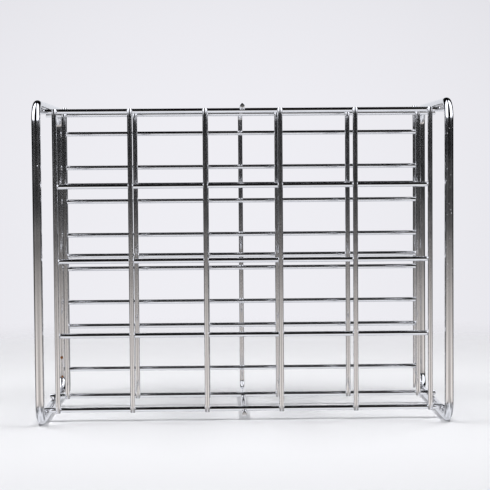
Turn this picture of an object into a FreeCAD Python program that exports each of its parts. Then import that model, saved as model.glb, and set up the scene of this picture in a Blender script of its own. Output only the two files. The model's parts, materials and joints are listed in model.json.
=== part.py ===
import FreeCAD, Part
import os
from math import sqrt
from FreeCAD import Vector

os.makedirs("parts", exist_ok=True)

# Chrome wire rack with twenty square cells: two open grids stand one behind
# the other between two closed side frames, and a panel of cross wires closes
# the back.
# X runs to the right, Y runs away from the open front, Z is up.
# The origin is on the floor, at the middle of the rack's footprint.

# ---- driving dimensions, mm ----
COLUMNS = 5                  # cells across
ROWS = 4                     # cells up
CELL = 84.0                  # cell pitch, both ways
ROD_D = 10.0                 # round rod of the side frames
WIRE_D = 5.5                 # round wire of everything else
SINK = 0.3                   # how far two crossing wires sink into each other at a weld
ROD_SINK = 0.5               # the same, where a wire crosses the thicker rod

FRAME_SPACING = 453.0        # between the centre lines of the two side frames
FRAME_DEPTH = 230.0          # front legs to rear legs, centre to centre
FRAME_BEND = 19.0            # centre-line radius of the side-frame corners
FRONT_REACH = 31.0           # front legs stand this far in front of the front grid
GRID_GAP = 104.5             # front grid to middle grid, upright wire to upright wire
BRACE_BEND = 10.0            # centre-line radius of the centre brace's two bends
BRACE_OVERHANG = 1.0         # brace ends reach this far past the front uprights' centres

# ---- worked out from them ----
WIRE_PITCH = WIRE_D - SINK                      # centre to centre of two crossing wires
ROD_PITCH = (ROD_D + WIRE_D) / 2 - ROD_SINK     # centre to centre of rod and crossing wire
BOTTOM_Z = ROD_D / 2 + ROD_PITCH                # lowest cross wires lie on the bottom rails
TOP_Z = BOTTOM_Z + ROWS * CELL                  # highest cross wires hang under the top rails
RAIL_TOP_Z = TOP_Z + ROD_PITCH
HALF_GRID = COLUMNS * CELL / 2
FRAME_X = FRAME_SPACING / 2
FRAME_OUTER_X = FRAME_X + ROD_D / 2
FRONT_LEG_Y = -FRAME_DEPTH / 2
REAR_LEG_Y = FRAME_DEPTH / 2
FRONT_GRID_Y = FRONT_LEG_Y + FRONT_REACH
MIDDLE_GRID_Y = FRONT_GRID_Y + GRID_GAP
PANEL_Y = REAR_LEG_Y - WIRE_PITCH               # panel wires cross in front of the uprights
EDGE_X = FRAME_X - (ROD_D + WIRE_D) / 2         # edge uprights lie against the rear legs
PANEL_HALF = EDGE_X + 1.0                       # they stop short of the rear legs


def rod(start, end, diameter):
    """Straight round rod from start to end."""
    line = end - start
    return Part.makeCylinder(diameter / 2, line.Length, start, line)


def upright(x, y, low, high):
    return rod(Vector(x, y, low), Vector(x, y, high), WIRE_D)


def cross_wire(y, z, half_length):
    return rod(Vector(-half_length, y, z), Vector(half_length, y, z), WIRE_D)


def corner_bend(before, corner, after, radius):
    """Quarter bend at a square corner: where it starts, where it ends, and its arc."""
    u = (before - corner).normalize()
    v = (after - corner).normalize()
    start = corner + u * radius
    end = corner + v * radius
    middle = corner + (u + v) * (radius * (1 - 1 / sqrt(2)))
    return start, end, Part.Arc(start, middle, end).toShape()


def bent_rod(corners, radius, diameter, closed):
    """Round rod along straight runs joined by quarter bends."""
    count = len(corners)
    bends = {}
    for i in range(count):
        if closed or 0 < i < count - 1:
            bends[i] = corner_bend(corners[i - 1], corners[i], corners[(i + 1) % count], radius)
    edges = []
    for i in range(count if closed else count - 1):
        j = (i + 1) % count
        start = bends[i][1] if i in bends else corners[i]
        end = bends[j][0] if j in bends else corners[j]
        edges.append(Part.makeLine(start, end))
        if j in bends:
            edges.append(bends[j][2])
    path = Part.Wire(edges)
    heading = edges[0].tangentAt(edges[0].FirstParameter)
    ring = Part.Wire(Part.makeCircle(diameter / 2, edges[0].Vertexes[0].Point, heading))
    return path.makePipeShell([ring], True, True)


def save(name, shape):
    shape.exportStep("parts/%s.step" % name)


# ---- side frames: closed loops of thick rod that are legs and rails at once ----
for side, x in (("left", -FRAME_X), ("right", FRAME_X)):
    loop = [Vector(x, FRONT_LEG_Y, ROD_D / 2), Vector(x, FRONT_LEG_Y, RAIL_TOP_Z),
            Vector(x, REAR_LEG_Y, RAIL_TOP_Z), Vector(x, REAR_LEG_Y, ROD_D / 2)]
    save(side + "_side_frame", bent_rod(loop, FRAME_BEND, ROD_D, closed=True))


# ---- the two open grids ----
def build_grid(name, y):
    """Upright wires at y, with the cross wires welded behind them."""
    for i in range(COLUMNS + 1):
        x = -HALF_GRID + i * CELL
        wire = upright(x, y, BOTTOM_Z - WIRE_D / 2, TOP_Z + WIRE_D / 2)
        save("%s_upright_%d" % (name, i + 1), wire)
    for j in range(ROWS + 1):
        # The highest and lowest cross wires reach the rails, and the others stop at the grid.
        on_rail = j in (0, ROWS)
        half = FRAME_OUTER_X if on_rail else HALF_GRID + WIRE_D / 2
        wire = cross_wire(y + WIRE_PITCH, TOP_Z - j * CELL, half)
        save("%s_cross_wire_%d" % (name, j + 1), wire)


build_grid("front_grid", FRONT_GRID_Y)
build_grid("middle_grid", MIDDLE_GRID_Y)

# ---- back panel: two cross wires to each row of cells, held by an upright at each side ----
for k in range(2 * ROWS):
    z = TOP_Z - (k + 0.5) * CELL / 2
    save("back_panel_wire_%d" % (k + 1), cross_wire(PANEL_Y, z, PANEL_HALF))

for side, x in (("left", -EDGE_X), ("right", EDGE_X)):
    wire = upright(x, REAR_LEG_Y, ROD_D / 2, RAIL_TOP_Z + ROD_D / 2 - SINK)
    save("back_panel_%s_upright" % side, wire)

# ---- centre brace: up the back, and forwards over and under all the cross wires ----
brace_front = FRONT_GRID_Y - BRACE_OVERHANG
brace_high = TOP_Z + WIRE_PITCH
brace_low = BOTTOM_Z - WIRE_PITCH
brace = [Vector(0, brace_front, brace_high), Vector(0, REAR_LEG_Y, brace_high),
         Vector(0, REAR_LEG_Y, brace_low), Vector(0, brace_front, brace_low)]
save("centre_brace", bent_rod(brace, BRACE_BEND, WIRE_D, closed=False))
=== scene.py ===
import json
import math
import random
import bmesh
import bpy
from mathutils import Matrix, Vector


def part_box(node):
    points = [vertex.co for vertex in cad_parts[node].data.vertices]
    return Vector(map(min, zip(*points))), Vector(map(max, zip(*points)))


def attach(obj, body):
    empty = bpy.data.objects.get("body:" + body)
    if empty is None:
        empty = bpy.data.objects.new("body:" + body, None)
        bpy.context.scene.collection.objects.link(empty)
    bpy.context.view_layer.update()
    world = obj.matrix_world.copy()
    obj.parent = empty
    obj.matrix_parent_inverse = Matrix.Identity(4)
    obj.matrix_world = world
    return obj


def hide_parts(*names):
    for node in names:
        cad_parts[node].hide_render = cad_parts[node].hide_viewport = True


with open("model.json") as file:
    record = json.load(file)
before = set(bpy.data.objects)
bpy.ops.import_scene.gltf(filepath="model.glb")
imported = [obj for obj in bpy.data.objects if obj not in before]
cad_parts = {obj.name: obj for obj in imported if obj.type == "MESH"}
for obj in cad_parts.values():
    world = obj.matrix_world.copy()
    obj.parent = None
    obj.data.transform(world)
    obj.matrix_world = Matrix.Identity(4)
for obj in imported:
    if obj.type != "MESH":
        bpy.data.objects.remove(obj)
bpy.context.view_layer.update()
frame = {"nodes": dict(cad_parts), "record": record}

MM = 0.001
X, Y, Z = Vector((1, 0, 0)), Vector((0, 1, 0)), Vector((0, 0, 1))

SIDES = 40                 # faces round a wire
STATION = 8 * MM           # rings on a straight run are about this far apart
BEND_STEPS = 14            # steps along a quarter bend
FRAME_BEND = 19.0 * MM     # centre-line radius of the side frames' corners
BRACE_BEND = 10.0 * MM     # the same, for the centre brace
SAME_POINT = 1e-6          # points closer than this are one

EDGE = 0.35 * MM           # rounding of a cut end
EDGE_STEPS = 4
DOME = 0.10 * MM           # swell of a cut end
DOME_RINGS = ((0.66, 0.5), (0.33, 0.85))    # part of the radius, part of the swell


def add_object(name, data):
    obj = bpy.data.objects.new(name, data)
    bpy.context.scene.collection.objects.link(obj)
    return obj


# ------------------------------------------------------------------ tubes
def rings_along(points, radius, closed):
    """A ring for each point (middle, two directions across, radius), and both end directions."""
    count = len(points)
    headings = []
    for i in range(count):
        before = points[i - 1] if closed or i > 0 else points[i]
        after = points[(i + 1) % count] if closed or i < count - 1 else points[i]
        headings.append((after - before).normalized())
    across = headings[0].orthogonal().normalized()
    rings = []
    for point, heading in zip(points, headings):
        across = (across - heading * across.dot(heading)).normalized()
        rings.append((point, across.copy(), heading.cross(across), radius))
    return rings, headings[0], headings[-1]


def round_end(ring, inward):
    """Rings from a cut face, round its edge, to the full wire."""
    point, u, v, radius = ring
    rounded = []
    for k in range(EDGE_STEPS):
        t = math.pi / 2 * k / EDGE_STEPS
        away = EDGE - EDGE * math.cos(t)
        rounded.append((point + inward * away, u, v, radius - EDGE + EDGE * math.sin(t)))
    rounded.append((point + inward * EDGE, u, v, radius))
    return rounded


def circle(centre, u, v, radius):
    points = []
    for k in range(SIDES):
        turn = 2 * math.pi * k / SIDES
        points.append(centre + u * (radius * math.cos(turn)) + v * (radius * math.sin(turn)))
    return points


def band(a, b):
    """Faces between the ring of vertices that starts at a and the one that starts at b."""
    return [(a + k, a + (k + 1) % SIDES, b + (k + 1) % SIDES, b + k) for k in range(SIDES)]


def close_end(verts, faces, rim, outward, ring, at_start):
    """Sheared end: a slight dome in rings round a middle point."""
    centre, u, v, radius = ring
    for part, rise in DOME_RINGS:
        inner = len(verts)
        verts += circle(centre + outward * (DOME * rise), u, v, radius * part)
        faces += band(inner, rim) if at_start else band(rim, inner)
        rim = inner
    tip = len(verts)
    verts.append(centre + outward * DOME)
    for k in range(SIDES):
        a, b = rim + k, rim + (k + 1) % SIDES
        faces.append((b, a, tip) if at_start else (a, b, tip))


def tube(name, points, radius, closed=False):
    """Round wire along a centre line. Open ends are cut square, and take the second material."""
    rings, head_in, head_out = rings_along(points, radius, closed)
    if not closed:
        tail = round_end(rings[-1], -head_out)[::-1]
        rings = round_end(rings[0], head_in) + rings[1:-1] + tail
    count = len(rings)
    verts = [p for ring in rings for p in circle(*ring)]
    faces = []
    for i in range(count if closed else count - 1):
        faces += band(i * SIDES, (i + 1) % count * SIDES)
    sheath = len(faces)
    if not closed:
        close_end(verts, faces, 0, -head_in, rings[0], True)
        close_end(verts, faces, (count - 1) * SIDES, head_out, rings[-1], False)
    mesh = bpy.data.meshes.new(name)
    mesh.from_pydata([tuple(v) for v in verts], [], faces)
    mesh.validate()
    for face in mesh.polygons:
        face.use_smooth = True
        face.material_index = 0 if face.index < sheath else 1
    return add_object(name, mesh)


# ------------------------------------------------------------------ centre lines
def straight(a, b):
    """Points from a to b."""
    count = max(2, int((b - a).length / STATION))
    return [a.lerp(b, i / count) for i in range(count + 1)]


def bend(centre, u, v, radius):
    """Quarter arc from centre + radius*u to centre + radius*v."""
    turns = (math.pi / 2 * i / BEND_STEPS for i in range(BEND_STEPS + 1))
    return [centre + (u * math.cos(t) + v * math.sin(t)) * radius for t in turns]


def join_runs(runs):
    """One line through all the runs. A point that two runs share is kept once."""
    line = []
    for run in runs:
        for point in run:
            if not line or (point - line[-1]).length > SAME_POINT:
                line.append(point)
    return line


def straight_wire(node):
    """Both ends and the radius of a straight wire, from its CAD box."""
    lo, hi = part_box(node)
    size = hi - lo
    axis = max(range(3), key=lambda i: size[i])
    radius = sum(size[i] for i in range(3) if i != axis) / 4
    start, end = (lo + hi) / 2, (lo + hi) / 2
    start[axis], end[axis] = lo[axis], hi[axis]
    return start, end, radius


def bent_wire(node):
    """A bent wire's x, the y and z limits of its centre line, and its radius, from its CAD box."""
    lo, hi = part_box(node)
    radius = (hi.x - lo.x) / 2
    # The brace is cut off at the front, so its line reaches the box itself.
    front = lo.y if node == "centre_brace" else lo.y + radius
    return (lo.x + hi.x) / 2, front, hi.y - radius, lo.z + radius, hi.z - radius, radius


def loop_line(node):
    """Centre line of a side frame, a closed loop in the plane of x."""
    x, y0, y1, z0, z1, _ = bent_wire(node)
    r = FRAME_BEND

    def at(y, z):
        return Vector((x, y, z))

    return join_runs([
        straight(at(y0, z0 + r), at(y0, z1 - r)),
        bend(at(y0 + r, z1 - r), -Y, Z, r),
        straight(at(y0 + r, z1), at(y1 - r, z1)),
        bend(at(y1 - r, z1 - r), Z, Y, r),
        straight(at(y1, z1 - r), at(y1, z0 + r)),
        bend(at(y1 - r, z0 + r), Y, -Z, r),
        straight(at(y1 - r, z0), at(y0 + r, z0)),
        bend(at(y0 + r, z0 + r), -Z, -Y, r)])[:-1]


def brace_line(node):
    """Centre line of the brace: back along the top, down, and forwards along the bottom."""
    x, y0, y1, z0, z1, _ = bent_wire(node)
    r = BRACE_BEND

    def at(y, z):
        return Vector((x, y, z))

    return join_runs([
        straight(at(y0, z1), at(y1 - r, z1)),
        bend(at(y1 - r, z1 - r), Z, Y, r),
        straight(at(y1, z1 - r), at(y1, z0 + r)),
        bend(at(y1 - r, z0 + r), Y, -Z, r),
        straight(at(y1 - r, z0), at(y0, z0))])


# ------------------------------------------------------------------ materials
class Graph:
    """Short calls for building shader nodes."""

    def __init__(self, tree):
        self.tree = tree

    def node(self, kind, **values):
        n = self.tree.nodes.new(kind)
        for k, v in values.items():
            setattr(n, k, v)
        return n

    def put(self, socket, value):
        if isinstance(value, bpy.types.NodeSocket):
            self.tree.links.new(value, socket)
        else:
            socket.default_value = value

    def math(self, op, a, b=0.0):
        n = self.node("ShaderNodeMath", operation=op)
        self.put(n.inputs[0], a)
        self.put(n.inputs[1], b)
        return n.outputs[0]

    def times(self, a, b):
        return self.math("MULTIPLY", a, b)

    def plus(self, a, b):
        return self.math("ADD", a, b)

    def minus(self, a, b):
        return self.math("SUBTRACT", a, b)

    def step(self, value, lo, hi):
        """0 below lo, 1 above hi, smooth between. lo may be the larger."""
        flip = lo > hi
        n = self.node("ShaderNodeMapRange", interpolation_type="SMOOTHSTEP")
        self.put(n.inputs["Value"], value)
        n.inputs["From Min"].default_value = min(lo, hi)
        n.inputs["From Max"].default_value = max(lo, hi)
        n.inputs["To Min"].default_value = 1.0 if flip else 0.0
        n.inputs["To Max"].default_value = 0.0 if flip else 1.0
        return n.outputs["Result"]

    def spread(self, value, source, target):
        """Carries the range source over to the range target."""
        n = self.node("ShaderNodeMapRange")
        self.put(n.inputs["Value"], value)
        n.inputs["From Min"].default_value, n.inputs["From Max"].default_value = source
        n.inputs["To Min"].default_value, n.inputs["To Max"].default_value = target
        return n.outputs["Result"]

    def mix(self, f, a, b):
        """a where f is 0, b where f is 1 (numbers)."""
        return self.plus(self.times(a, self.minus(1.0, f)), self.times(b, f))

    def noise(self, place, scale, detail):
        n = self.node("ShaderNodeTexNoise")
        n.inputs["Scale"].default_value = scale
        n.inputs["Detail"].default_value = detail
        self.put(n.inputs["Vector"], place)
        return n.outputs["Fac"]

    def ramp(self, factor, low, high, ends=(0.0, 1.0)):
        """Colour from low to high as factor goes over the range ends."""
        n = self.node("ShaderNodeValToRGB")
        for stop, position, colour in zip(n.color_ramp.elements, ends, (low, high)):
            stop.position = position
            stop.color = (*colour, 1)
        self.put(n.inputs["Fac"], factor)
        return n.outputs["Color"]

    def blend(self, factor, a, b):
        """Colour a where factor is 0, b where it is 1."""
        n = self.node("ShaderNodeMix", data_type="RGBA")
        self.put(n.inputs["Factor"], factor)
        self.put(n.inputs["A"], a)
        self.put(n.inputs["B"], b)
        return n.outputs["Result"]


def new_material(name):
    mat = bpy.data.materials.new(name)
    mat.use_nodes = True
    return mat, Graph(mat.node_tree), mat.node_tree.nodes["Principled BSDF"]


PLATE_DARK, PLATE_LIGHT = (0.60, 0.60, 0.61), (0.68, 0.68, 0.69)
PLATE_ROUGH = (0.08, 0.13)      # least and most, in clouds
SHEARED_ROUGH = (0.16, 0.26)    # the same, on the cut ends
CLOUD_SCALE, CLOUD_DETAIL = 28.0, 5.0
GRAIN_SCALE, GRAIN_DETAIL = 900.0, 3.0
GRAIN_BUMP, GRAIN_DEPTH = 0.012, 0.2 * MM
RUST_BROWN = (0.30, 0.13, 0.05, 1)
RUST_CORE = 0.55                # part of a spot that is rusted through
RUST_ROUGH = 0.6                # added to the plate's roughness

# Two small rust spots on the left rear leg: x, y, z and size in mm.
RUST = {"frame_rod": ((-226.0, 110.0, 48.0, 2.4), (-225.6, 110.1, 24.0, 1.8))}


def chrome(name, seed, rust=(), rough=PLATE_ROUGH):
    """Chrome plate with a faint cloudiness and grain, and any rust spots."""
    mat, g, bsdf = new_material(name)
    bsdf.inputs["Metallic"].default_value = 1.0
    spot_place = g.node("ShaderNodeTexCoord").outputs["Object"]
    shift = g.node("ShaderNodeMapping")
    shift.inputs["Location"].default_value = (seed * 0.137, seed * 0.291, seed * 0.053)
    g.put(shift.inputs["Vector"], spot_place)
    place = shift.outputs["Vector"]
    cloud = g.noise(place, CLOUD_SCALE, CLOUD_DETAIL)
    grain = g.noise(place, GRAIN_SCALE, GRAIN_DETAIL)
    paint = g.ramp(cloud, PLATE_DARK, PLATE_LIGHT, (0.3, 0.7))
    dull = g.spread(cloud, (0.35, 0.7), rough)
    spots = None
    for x, y, z, size in rust:
        away = g.node("ShaderNodeVectorMath", operation="DISTANCE")
        g.put(away.inputs[0], spot_place)
        away.inputs[1].default_value = (x * MM, y * MM, z * MM)
        ragged = g.plus(away.outputs["Value"], g.times(g.minus(grain, 0.5), size * MM))
        spot = g.step(ragged, size * MM, size * MM * RUST_CORE)
        spots = spot if spots is None else g.math("MAXIMUM", spots, spot)
    if spots is not None:
        paint = g.blend(spots, paint, RUST_BROWN)
        dull = g.plus(dull, g.times(spots, RUST_ROUGH))
    g.put(bsdf.inputs["Base Color"], paint)
    g.put(bsdf.inputs["Roughness"], dull)
    bump = g.node("ShaderNodeBump")
    bump.inputs["Strength"].default_value = GRAIN_BUMP
    bump.inputs["Distance"].default_value = GRAIN_DEPTH
    g.put(bump.inputs["Height"], grain)
    g.put(bsdf.inputs["Normal"], bump.outputs["Normal"])
    return mat


SLOTS = ("frame_rod", "grid_wire", "panel_wire", "brace_wire")
FINISH = {slot: chrome("chrome_" + slot, i + 1, RUST.get(slot, ())) for i, slot in enumerate(SLOTS)}
SHEARED = chrome("chrome_sheared_end", 9, rough=SHEARED_ROUGH)
SLOT_OF = {p["node"]: p["material_slot"] for p in frame["record"]["subparts"]}

# ------------------------------------------------------------------ wires
nodes = sorted(frame["nodes"])
for node in nodes:
    slot = SLOT_OF[node]
    closed = node.endswith("side_frame")
    if closed:
        line, radius = loop_line(node), bent_wire(node)[-1]
    elif node == "centre_brace":
        line, radius = brace_line(node), bent_wire(node)[-1]
    else:
        start, end, radius = straight_wire(node)
        line = straight(start, end)
    piece = tube(node + "_look", line, radius, closed)
    piece.data.materials.append(FINISH[slot])
    if not closed:
        piece.data.materials.append(SHEARED)
    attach(piece, "root")
    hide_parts(node)

# ------------------------------------------------------------------ welds
NOT_SQUARE = 0.1           # cosine above which two wires don't cross
TOUCH = 0.2 * MM           # wires this far apart still count as touching
DEEPEST = 0.8              # part of the two radii that must stay between the centre lines

BEAD_AROUND, BEAD_ACROSS = 20, 8
BEAD_WIDTH = 0.96          # bead's radius, as a part of the thinner wire's
BEAD_THICKNESS = 0.40      # half its thickness, the same way
BEAD_UNEVEN = 0.07         # how much each wave of its outline swings
BEAD_SQUARE = 0.8          # below 1, the bead is fuller than an ellipsoid


def straight_runs(node):
    """The straight stretches of a node's wire, each as two ends and a radius."""
    if node != "centre_brace" and not node.endswith("side_frame"):
        return [straight_wire(node)]
    x, y0, y1, z0, z1, radius = bent_wire(node)
    if node == "centre_brace":
        k = BRACE_BEND
        ends = [((y0, z1), (y1 - k, z1)), ((y1, z0 + k), (y1, z1 - k)), ((y0, z0), (y1 - k, z0))]
    else:
        k = FRAME_BEND
        ends = [((y0, z0 + k), (y0, z1 - k)), ((y0 + k, z1), (y1 - k, z1)),
                ((y1, z0 + k), (y1, z1 - k)), ((y0 + k, z0), (y1 - k, z0))]
    return [(Vector((x, *a)), Vector((x, *b)), radius) for a, b in ends]


def crossing(run_a, run_b):
    """Where two square-on wires touch: the point, both directions, the normal and a size."""
    (a0, a1, ra), (b0, b1, rb) = run_a, run_b
    u, v = (a1 - a0).normalized(), (b1 - b0).normalized()
    if abs(u.dot(v)) > NOT_SQUARE:
        return None
    n = u.cross(v)
    gap = (b0 - a0).dot(n)
    s, t = (b0 - a0).dot(u), (a0 - b0).dot(v)
    if abs(gap) > ra + rb + TOUCH or abs(gap) < DEEPEST * (ra + rb):
        return None
    if not (0 <= s <= (a1 - a0).length and 0 <= t <= (b1 - b0).length):
        return None
    if gap < 0:
        n, gap = -n, -gap
    return a0 + u * s + n * (ra - (ra + rb - gap) / 2), u, v, n, min(ra, rb)


def beads(name, spots, slot):
    """Flattened, slightly uneven beads of metal, one at each spot."""
    verts, faces = [], []
    for at, u, v, n, size in spots:
        start = len(verts)
        waves = [rng.uniform(-BEAD_UNEVEN, BEAD_UNEVEN) for _ in range(4)]
        turn = rng.uniform(0, math.tau)
        for i in range(BEAD_ACROSS + 1):
            lat = math.pi * i / BEAD_ACROSS
            for k in range(BEAD_AROUND):
                a = math.tau * k / BEAD_AROUND
                outline = sum(w * math.cos((m + 2) * a + turn * (m + 1)) for m, w in enumerate(waves))
                ring = size * (BEAD_WIDTH + outline) * math.sin(lat) ** BEAD_SQUARE
                rise = n * (size * BEAD_THICKNESS * math.cos(lat))
                verts.append(at + (u * math.cos(a) + v * math.sin(a)) * ring + rise)
        for i in range(BEAD_ACROSS):
            p, q = start + i * BEAD_AROUND, start + (i + 1) * BEAD_AROUND
            for k in range(BEAD_AROUND):
                m = (k + 1) % BEAD_AROUND
                if i == 0:
                    faces.append((p, q + k, q + m))
                elif i == BEAD_ACROSS - 1:
                    faces.append((p + k, q, p + m))
                else:
                    faces.append((p + k, q + k, q + m, p + m))
    mesh = bpy.data.meshes.new(name)
    mesh.from_pydata([tuple(p) for p in verts], [], faces)
    bm = bmesh.new()
    bm.from_mesh(mesh)
    # Each bead's two poles use one vertex of their ring, and the rest of that ring goes.
    bmesh.ops.delete(bm, geom=[p for p in bm.verts if not p.link_faces], context="VERTS")
    bmesh.ops.recalc_face_normals(bm, faces=bm.faces)
    bm.to_mesh(mesh)
    bm.free()
    for face in mesh.polygons:
        face.use_smooth = True
    mesh.materials.append(FINISH[slot])
    obj = add_object(name, mesh)
    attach(obj, "root")


rng = random.Random(7)
# A weld belongs to the first family here that either of its wires is in.
WELD_SLOTS = {"side_frame": "frame_rod", "centre_brace": "brace_wire", "back_panel": "panel_wire",
              "middle_grid": "grid_wire", "front_grid": "grid_wire"}
welds = {family: [] for family in WELD_SLOTS}
runs = {node: straight_runs(node) for node in nodes}
for i, first in enumerate(nodes):
    for second in nodes[i + 1:]:
        family = next(f for f in WELD_SLOTS if f in first or f in second)
        for run_a in runs[first]:
            for run_b in runs[second]:
                touch = crossing(run_a, run_b)
                if touch:
                    welds[family].append(touch)
for family, spots in welds.items():
    beads(family + "_welds", spots, WELD_SLOTS[family])

# Small blisters in the plating of the front legs: height in mm, turn round the leg in degrees
# from straight ahead, size in mm. The right leg's lie at random where the photo shows specks.
BLISTER_SUNK = 0.05 * MM
blisters = {"left": [(288, 19, 0.75), (96, -30, 0.3)],
            "right": [(rng.uniform(150, 330), rng.uniform(-48, 40), rng.uniform(0.28, 0.55))
                      for _ in range(16)]}
for side, marks in blisters.items():
    x, y, _, _, _, radius = bent_wire(side + "_side_frame")
    spots = []
    for z, turn, size in marks:
        n = Vector((math.sin(math.radians(turn)), -math.cos(math.radians(turn)), 0))
        at = Vector((x, y, z * MM)) + n * (radius - BLISTER_SUNK)
        spots.append((at, Z, n.cross(Z), n, size * MM))
    beads(side + "_plating_blisters", spots, "frame_rod")

# ------------------------------------------------------------------ floor
FLOOR_HALF = 1.2
FLOOR_FADE = (0.35, 1.1)        # distance from the rack where the paper starts and ends fading
PAPER = 0.86                    # how much light the paper returns
PAPER_DARK, PAPER_LIGHT = (0.965, 0.968, 0.995), (0.985, 0.988, 1.015)
PAPER_GRAIN = 3.0

floor_paper, g, bsdf = new_material("floor_paper")
bsdf.inputs["Roughness"].default_value = 0.8
bsdf.inputs["Specular IOR Level"].default_value = 0.2
place = g.node("ShaderNodeTexCoord").outputs["Object"]
tones = [tuple(PAPER * c for c in tone) for tone in (PAPER_DARK, PAPER_LIGHT)]
g.put(bsdf.inputs["Base Color"], g.ramp(g.noise(place, PAPER_GRAIN, 2.0), *tones))
split = g.node("ShaderNodeSeparateXYZ")
g.put(split.inputs["Vector"], place)
x, y = split.outputs["X"], split.outputs["Y"]
away = g.math("SQRT", g.plus(g.times(x, x), g.times(y, y)))
g.put(bsdf.inputs["Alpha"], g.step(away, FLOOR_FADE[1], FLOOR_FADE[0]))

mesh = bpy.data.meshes.new("floor")
corners = [(sx * FLOOR_HALF, sy * FLOOR_HALF, 0.0) for sx, sy in ((-1, -1), (1, -1), (1, 1), (-1, 1))]
mesh.from_pydata(corners, [], [(0, 1, 2, 3)])
mesh.materials.append(floor_paper)
floor = add_object("floor", mesh)
floor.visible_glossy = False

# ------------------------------------------------------------------ world
PALE = 0.875                # brightness of the white paper and backdrop
SOFTBOX = 3.0               # brightness of the soft lights, as the chrome mirrors them
COOL, WARM = (0.96, 0.98, 1.04, 1), (1.06, 1.0, 0.96, 1)
BACKDROP = (0.985, 0.98, 1.03, 1)

# White paper stays white: the plain display transform keeps the photograph's contrast.
bpy.context.scene.view_settings.view_transform = "Standard"
world = bpy.data.worlds.new("studio")
bpy.context.scene.world = world
world.use_nodes = True
# The paper is lit by the lamps alone. The world is what the chrome mirrors.
world.cycles_visibility.diffuse = False
world.node_tree.nodes.clear()
g = Graph(world.node_tree)
sky = g.node("ShaderNodeTexCoord").outputs["Generated"]
split = g.node("ShaderNodeSeparateXYZ")
g.put(split.inputs["Vector"], sky)
# Direction of the reflected ray: right, away from the front, up.
dx, dy, dz = split.outputs["X"], split.outputs["Y"], split.outputs["Z"]
ax = g.math("ABSOLUTE", dx)
down = g.times(dz, -1.0)
front = g.math("MAXIMUM", g.times(dy, -1.0), 0.0)

# Two soft lights overhead, left and right, with a dark gap that widens towards the front.
gap = g.plus(g.times(dz, 0.14), g.times(front, 0.5))
soft = g.times(g.step(g.minus(ax, gap), 0.0, 0.07), g.step(g.minus(g.times(dz, 0.58), dy), 0.0, 0.06))
soft = g.times(soft, g.step(dz, 0.06, 0.22))

# The dim room: nearly black above, a little lighter at the sides near eye level.
sides = g.times(g.step(ax, 0.25, 0.85), g.step(dy, 0.30, -0.10))
clouds = g.noise(sky, 4.0, 3.0)
streaks = g.step(clouds, 0.44, 0.58)
clutter = g.step(clouds, 0.38, 0.62)
level = g.plus(g.times(sides, 0.02), g.times(clutter, 0.018))
room = g.plus(g.times(level, g.step(dz, 0.25, 0.02)), 0.008)


def add(total, amount, lo, hi, weight=None):
    """Adds amount as the direction drops from lo to hi below eye level."""
    part = g.times(g.step(down, lo, hi), amount)
    if weight is not None:
        part = g.times(part, weight)
    return g.plus(total, part)


# The table: dim far off, then brighter towards the rack, soonest at the sides.
table = add(room, 0.12, 0.01, 0.06)
table = add(table, 0.50, 0.045, 0.10)
table = add(table, 0.60, 0.075, 0.15, g.times(sides, g.step(down, 0.30, 0.17)))
rear = g.times(g.step(dy, -0.35, 0.20), g.step(down, 0.24, 0.06))
table = g.times(table, g.minus(1.0, g.times(rear, 0.88)))
# Near the rack the paper is bright in front and behind, broken up by the room at the sides.
flank = g.times(g.step(ax, 0.16, 0.42), g.step(down, 0.85, 0.5))
table = add(table, 0.62, 0.17, 0.42, g.minus(1.0, g.times(flank, 0.75)))
patchy = g.times(g.times(flank, g.step(down, 0.15, 0.24)), g.minus(1.0, streaks))
table = g.times(table, g.minus(1.0, g.times(patchy, 0.72)))
# It darkens again straight below, under the rack.
table = add(table, -0.25, 0.85, 1.0)

# The backdrop, of finite width and height, runs down into the paper behind the rack.
behind = g.times(g.step(g.minus(dy, g.times(ax, 1.43)), 0.0, 0.15), g.step(dz, 0.30, 0.20))
mirrored = g.mix(behind, g.mix(soft, table, SOFTBOX), PALE)
# The table's light is a little warm, the room's a little cool.
warmth = g.times(g.step(down, 0.0, 0.08), g.step(down, 0.42, 0.16))
warmth = g.times(warmth, g.step(dy, 0.6, 0.2))
lit = g.node("ShaderNodeBackground")
g.put(lit.inputs["Color"], g.blend(warmth, COOL, WARM))
g.put(lit.inputs["Strength"], mirrored)

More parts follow.
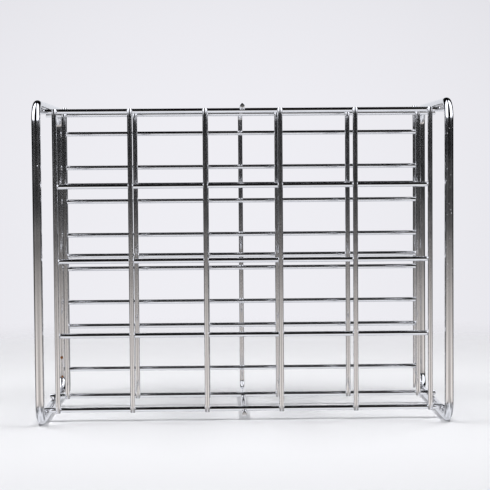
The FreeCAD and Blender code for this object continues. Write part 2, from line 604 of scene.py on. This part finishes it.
# The camera sees plain paper, a little brighter behind the rack than at its edges.
above = g.math("MAXIMUM", dz, 0.0)
off = g.plus(g.times(g.times(dx, dx), 1.6), g.times(g.times(above, above), 4.2))
glow = g.math("MAXIMUM", g.minus(PALE, g.times(off, PALE)), PALE * 0.82)
glow = g.plus(glow, g.times(g.step(down, 0.12, 0.22), 0.05))
seen = g.node("ShaderNodeBackground")
seen.inputs["Color"].default_value = BACKDROP
g.put(seen.inputs["Strength"], glow)

both = g.node("ShaderNodeMixShader")
g.put(both.inputs["Fac"], g.node("ShaderNodeLightPath").outputs["Is Camera Ray"])
g.put(both.inputs[1], lit.outputs["Background"])
g.put(both.inputs[2], seen.outputs["Background"])
g.put(g.node("ShaderNodeOutputWorld").inputs["Surface"], both.outputs["Shader"])


# ------------------------------------------------------------------ lamps
def area(name, at, target, width, depth, power):
    """Soft lamp that shines on the paper, and isn't mirrored in the chrome."""
    light = bpy.data.lights.new(name, "AREA")
    light.shape = "RECTANGLE"
    light.size, light.size_y = width, depth
    light.energy = power
    obj = add_object(name, light)
    obj.location = at
    obj.rotation_mode = "QUATERNION"
    obj.rotation_quaternion = (Vector(target) - Vector(at)).to_track_quat("-Z", "Y")
    obj.visible_glossy = False


for sign, side in ((-1, "left"), (1, "right")):
    area("key_" + side, (sign * 0.75, 0.02, 1.5), (0, 0.02, 0), 0.9, 0.16, 11.8)
area("fill", (0, -0.35, 2.0), (0, -0.1, 0), 2.6, 2.2, 23)

# ------------------------------------------------------------------ camera
# Fitted to the photograph: angles in radians, place in mm.
YAW, PITCH, ROLL = -0.015881, 0.052399, 0.007699
CAMERA_AT = (-24.72, -1755.47, 285.26)

cam_data = bpy.data.cameras.new("camera")
cam_data.sensor_width = 36.0
cam_data.lens = 109.632
cam = add_object("camera", cam_data)
c, s = math.cos(YAW), math.sin(YAW)
right, ahead = Vector((c, s, 0)), Vector((-s, c, 0))
c, s = math.cos(PITCH), math.sin(PITCH)
ahead, up = ahead * c - Z * s, ahead * s + Z * c
c, s = math.cos(ROLL), math.sin(ROLL)
right, up = right * c - up * s, right * s + up * c
aim = Matrix((right, up, -ahead)).transposed().to_4x4()
aim.translation = Vector(CAMERA_AT) * MM
cam.matrix_world = aim
bpy.context.scene.camera = cam
